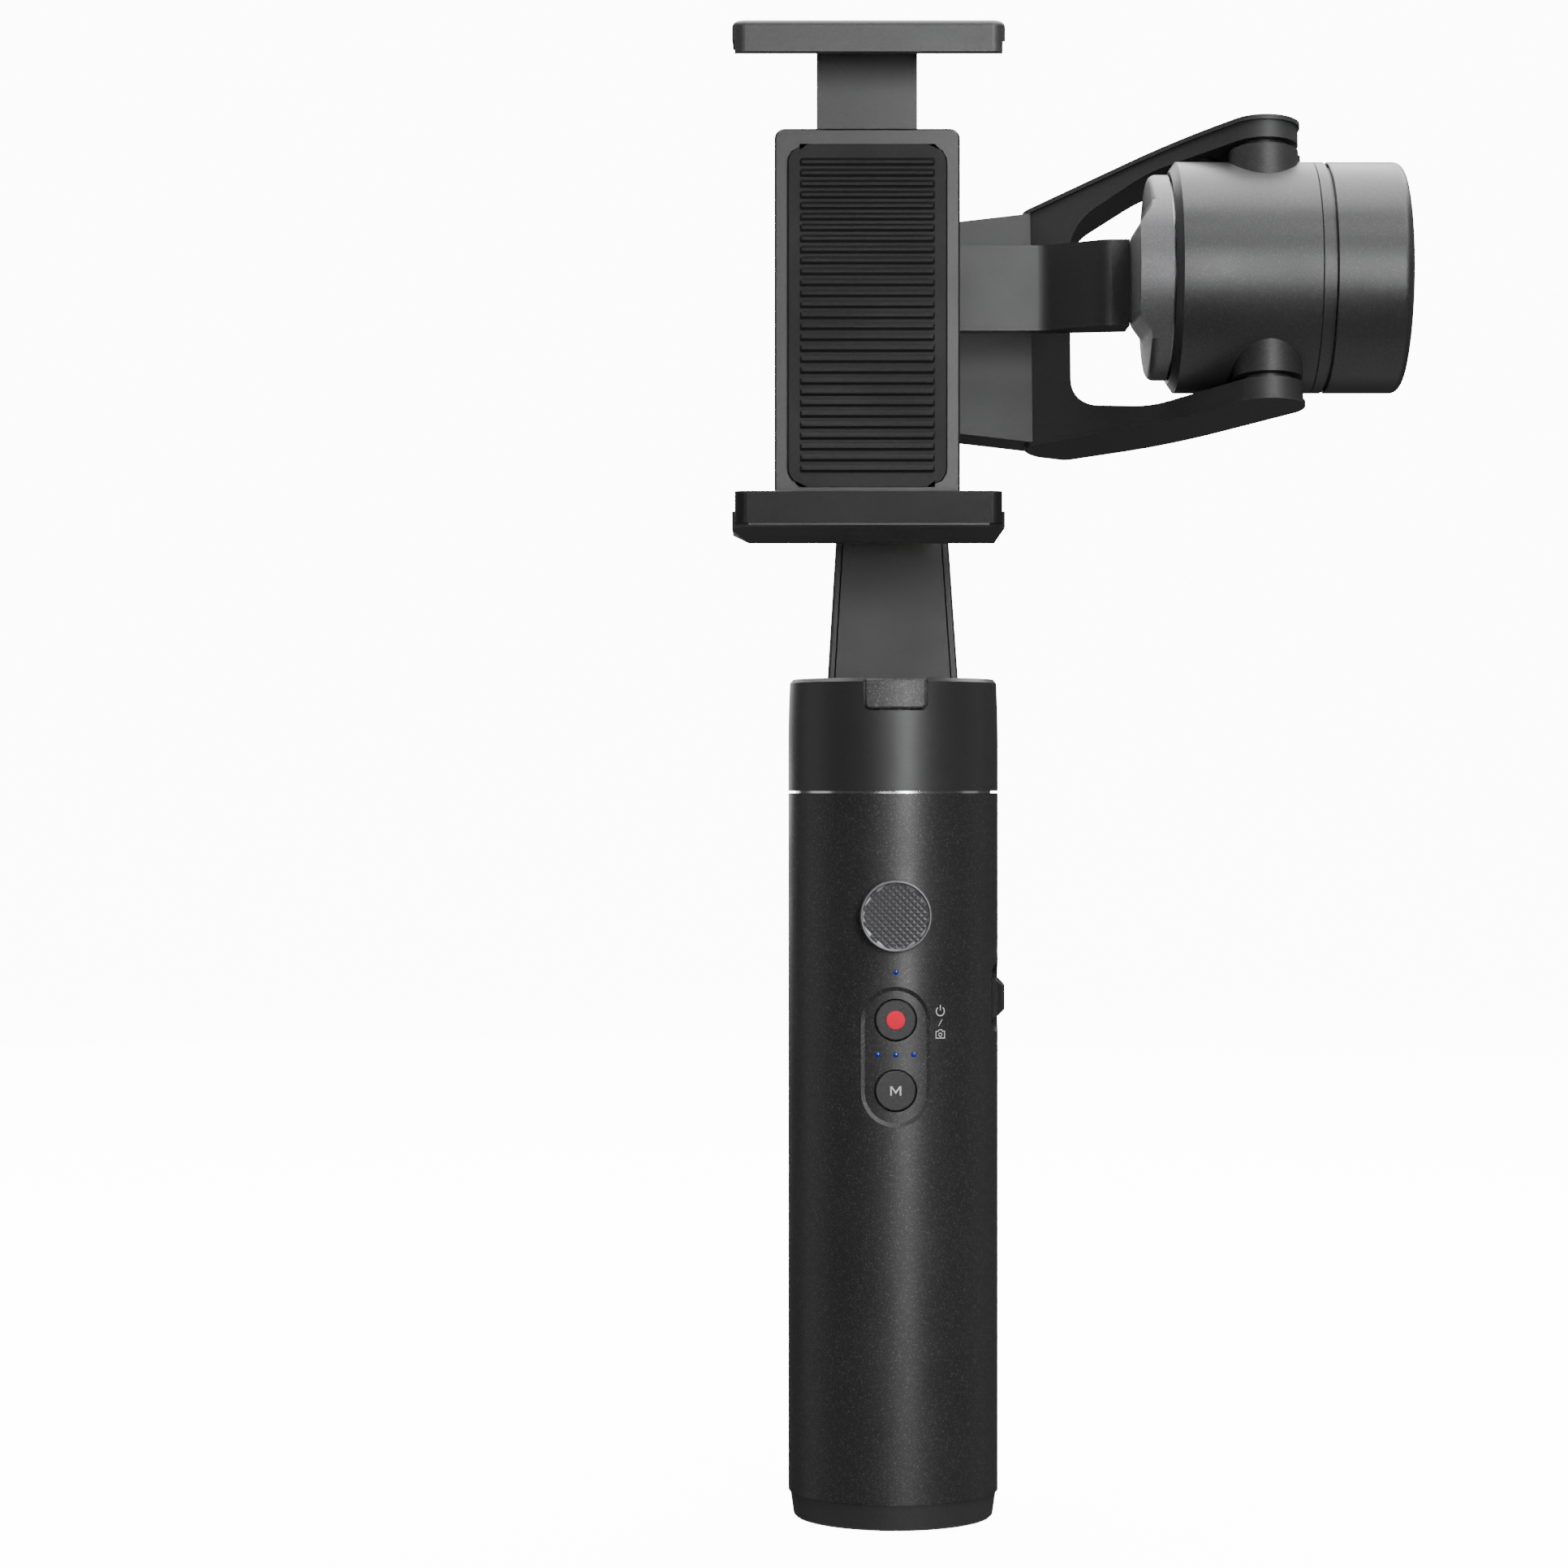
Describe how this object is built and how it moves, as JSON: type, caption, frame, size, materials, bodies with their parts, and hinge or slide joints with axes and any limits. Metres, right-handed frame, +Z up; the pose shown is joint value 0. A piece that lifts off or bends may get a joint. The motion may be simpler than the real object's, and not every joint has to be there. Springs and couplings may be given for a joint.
{
  "type": "gimbal stabilizer",
  "caption": "Hand-held three-axis phone stabilizer: round handle with joystick and buttons, pan, roll and tilt motors on folding arms, and a sprung phone clamp.",
  "frame": {"origin": "middle of the handle's flat foot, at the mouth of the tripod socket", "axes": "+Z up the handle's axis, +Y away from the user who holds it, +X to that user's right"},
  "size_m": [0.1044, 0.068, 0.2371],
  "materials": {
    "handle_coat": "fine textured satin",
    "foot_plastic": "fine textured matt",
    "insert_brass": "turned",
    "collar_metal": "turned satin",
    "panel_plastic": "smooth satin",
    "light_pipe": "tinted, polished",
    "inner_plastic": "moulded",
    "battery_wrap": "shrink sleeve",
    "board_laminate": "solder mask",
    "socket_steel": "plated",
    "bearing_steel": "ground",
    "copper_winding": "enamelled copper on iron",
    "rotor_iron": "nickel plated",
    "ground_steel": "ground",
    "spring_wire": "drawn",
    "joystick_plastic": "knurled",
    "record_red": "smooth satin with a red dot",
    "zoom_plastic": "polished facets",
    "pan_coat": "smooth satin",
    "latch_coat": "fine textured satin",
    "arm_coat": "fine textured matt",
    "arm_cover_plastic": "fine textured matt",
    "cable_polymer": "polyimide film",
    "washer_polymer": "acetal",
    "motor_coat": "metallic satin",
    "rotor_cover_metal": "bead blasted, anodised grey",
    "clamp_plastic": "fine textured matt",
    "upper_jaw_plastic": "fine textured matt",
    "grip_rubber": "moulded"
  },
  "bodies": {
    "handle": {"handle_tube": "handle_coat", "base_cap": "foot_plastic", "tripod_insert": "insert_brass", "handle_collar": "collar_metal", "control_panel": "panel_plastic", "led_light_pipes": "light_pipe", "inner_chassis": "inner_plastic", "battery_cell": "battery_wrap", "main_board": "board_laminate", "charging_socket": "socket_steel", "button_board": "board_laminate", "joystick_module": "inner_plastic", "zoom_switch": "inner_plastic", "pan_bearings": "bearing_steel", "pan_stator": "copper_winding"},
    "joystick_gimbal": {"joystick_ring": "inner_plastic"},
    "joystick": {"joystick_cap": "joystick_plastic"},
    "record_key": {"record_button": "record_red"},
    "mode_key": {"mode_button": "panel_plastic"},
    "zoom_slider": {"zoom_knob": "zoom_plastic"},
    "pan_head": {"pan_housing": "pan_coat", "pan_rotor": "rotor_iron", "pan_shaft": "ground_steel", "fold_pin": "ground_steel", "latch_spring": "spring_wire"},
    "latch": {"latch_button": "latch_coat"},
    "arm": {"arm_frame": "arm_coat", "arm_front_cover": "arm_cover_plastic", "arm_cable": "cable_polymer", "roll_housing": "arm_coat", "roll_rear_cover": "arm_cover_plastic", "roll_stator": "copper_winding", "roll_bearings": "bearing_steel"},
    "yoke": {"yoke_frame": "arm_coat", "roll_rotor": "rotor_iron", "roll_shaft": "ground_steel", "yoke_upper_cover": "arm_cover_plastic", "yoke_lower_cover": "arm_cover_plastic", "yoke_hinge_pins": "ground_steel", "friction_washers": "washer_polymer"},
    "tilt_head": {"tilt_housing": "motor_coat", "tilt_end_cover": "motor_coat", "tilt_board": "board_laminate", "tilt_bearings": "bearing_steel", "tilt_stator": "copper_winding"},
    "clamp": {"tilt_rotor_cover": "rotor_cover_metal", "tilt_rotor": "rotor_iron", "tilt_shaft": "ground_steel", "clamp_arm": "arm_coat", "clamp_body": "clamp_plastic", "clamp_front_cover": "clamp_plastic", "back_pad": "grip_rubber", "guide_rods": "ground_steel", "clamp_springs": "spring_wire", "lower_jaw": "clamp_plastic", "lower_jaw_pad": "grip_rubber"},
    "upper_jaw": {"upper_jaw": "upper_jaw_plastic", "upper_jaw_pad": "grip_rubber"}
  },
  "joints": [
    {"name": "pan_turn", "type": "hinge", "parent": "handle", "child": "pan_head", "pos_m": [0, 0, 0.1264], "axis": [0, 0, 1], "range_deg": [-160, 160]},
    {"name": "latch_press", "type": "slide", "parent": "pan_head", "child": "latch", "axis": [0, 1, 0], "range_m": [0, 0.0015], "stiffness_N_per_m": 600, "springref_m": -0.0008, "deforming": ["latch_spring"]},
    {"name": "arm_fold", "type": "hinge", "parent": "pan_head", "child": "arm", "pos_m": [0, 0.0145, 0.1302], "axis": [-1, 0, 0], "range_deg": [0, 165]},
    {"name": "roll_turn", "type": "hinge", "parent": "arm", "child": "yoke", "pos_m": [0, -0.024, 0.1977], "axis": [0, 0.9863, -0.165], "range_deg": [-45, 45]},
    {"name": "head_fold", "type": "hinge", "parent": "yoke", "child": "tilt_head", "pos_m": [0.0569, -0.0308, 0.19884], "axis": [0, 0.165, 0.9863], "range_deg": [0, 90]},
    {"name": "tilt_turn", "type": "hinge", "parent": "tilt_head", "child": "clamp", "pos_m": [0.042, -0.024, 0.1977], "axis": [1, 0, 0], "range_deg": [-45, 25]},
    {"name": "jaw_slide", "type": "slide", "parent": "clamp", "child": "upper_jaw", "axis": [0, 0, 1], "range_m": [-0.0125, 0.0085], "stiffness_N_per_m": 150, "springref_m": -0.001, "deforming": ["clamp_springs"]},
    {"name": "joystick_x", "type": "hinge", "parent": "handle", "child": "joystick_gimbal", "pos_m": [0, -0.009, 0.0976], "axis": [1, 0, 0], "range_deg": [-8, 8], "stiffness_Nm_per_rad": 0.02},
    {"name": "joystick_z", "type": "hinge", "parent": "joystick_gimbal", "child": "joystick", "pos_m": [0, -0.009, 0.0976], "axis": [0, 0, 1], "range_deg": [-8, 8], "stiffness_Nm_per_rad": 0.02},
    {"name": "record_press", "type": "slide", "parent": "handle", "child": "record_key", "axis": [0, 1, 0], "range_m": [0, 0.0006], "stiffness_N_per_m": 1500, "springref_m": -0.0004},
    {"name": "mode_press", "type": "slide", "parent": "handle", "child": "mode_key", "axis": [0, 1, 0], "range_m": [0, 0.0006], "stiffness_N_per_m": 1500, "springref_m": -0.0004},
    {"name": "zoom_slide", "type": "slide", "parent": "handle", "child": "zoom_slider", "axis": [0, 0, 1], "range_m": [-0.0015, 0.0015], "stiffness_N_per_m": 400}
  ]
}
